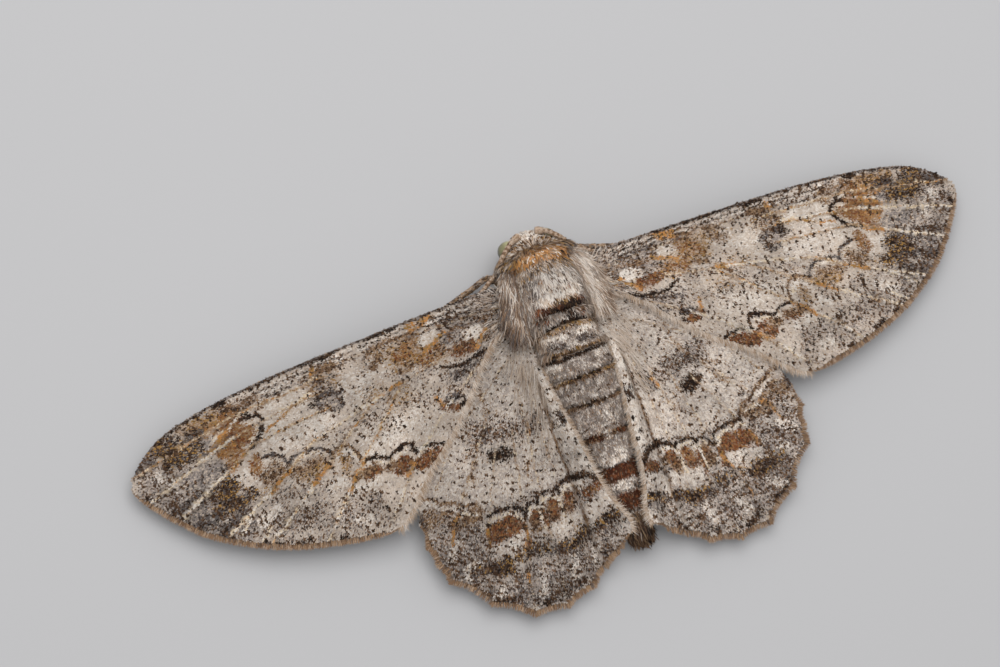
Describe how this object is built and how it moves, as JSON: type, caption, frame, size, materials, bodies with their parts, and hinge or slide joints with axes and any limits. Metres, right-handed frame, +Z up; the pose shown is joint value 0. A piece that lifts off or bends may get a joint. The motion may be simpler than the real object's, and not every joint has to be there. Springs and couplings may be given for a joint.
{
  "type": "moth",
  "caption": "Still, life-size geometer moth at rest with patterned wings spread flat, standing on its own feet.",
  "frame": {"origin": "middle of the footprint, on the floor", "axes": "+X along the wingspan to the moth's right, +Y towards the head, +Z up"},
  "size_m": [0.045, 0.0184, 0.0039],
  "materials": {
    "wing_scales": "matt overlapping scales, grey-beige with brown bands and dark speckles",
    "body_scales": "matt grey and brown scales",
    "long_hair": "soft long hair-scales, beige",
    "eye": "glossy faceted compound eye, olive",
    "feeler": "satin brown, finely ringed",
    "leg": "satin brown with pale scales"
  },
  "bodies": {
    "root": {"head": "body_scales", "thorax": "body_scales", "abdomen": "body_scales", "forewing_right": "wing_scales", "forewing_left": "wing_scales", "hindwing_right": "wing_scales", "hindwing_left": "wing_scales", "tegula_right": "long_hair", "tegula_left": "long_hair", "eye_right": "eye", "eye_left": "eye", "palp_right": "body_scales", "palp_left": "body_scales", "antenna_right": "feeler", "antenna_left": "feeler", "foreleg_right": "leg", "foreleg_left": "leg", "midleg_right": "leg", "midleg_left": "leg", "hindleg_right": "leg", "hindleg_left": "leg"}
  },
  "joints": []
}
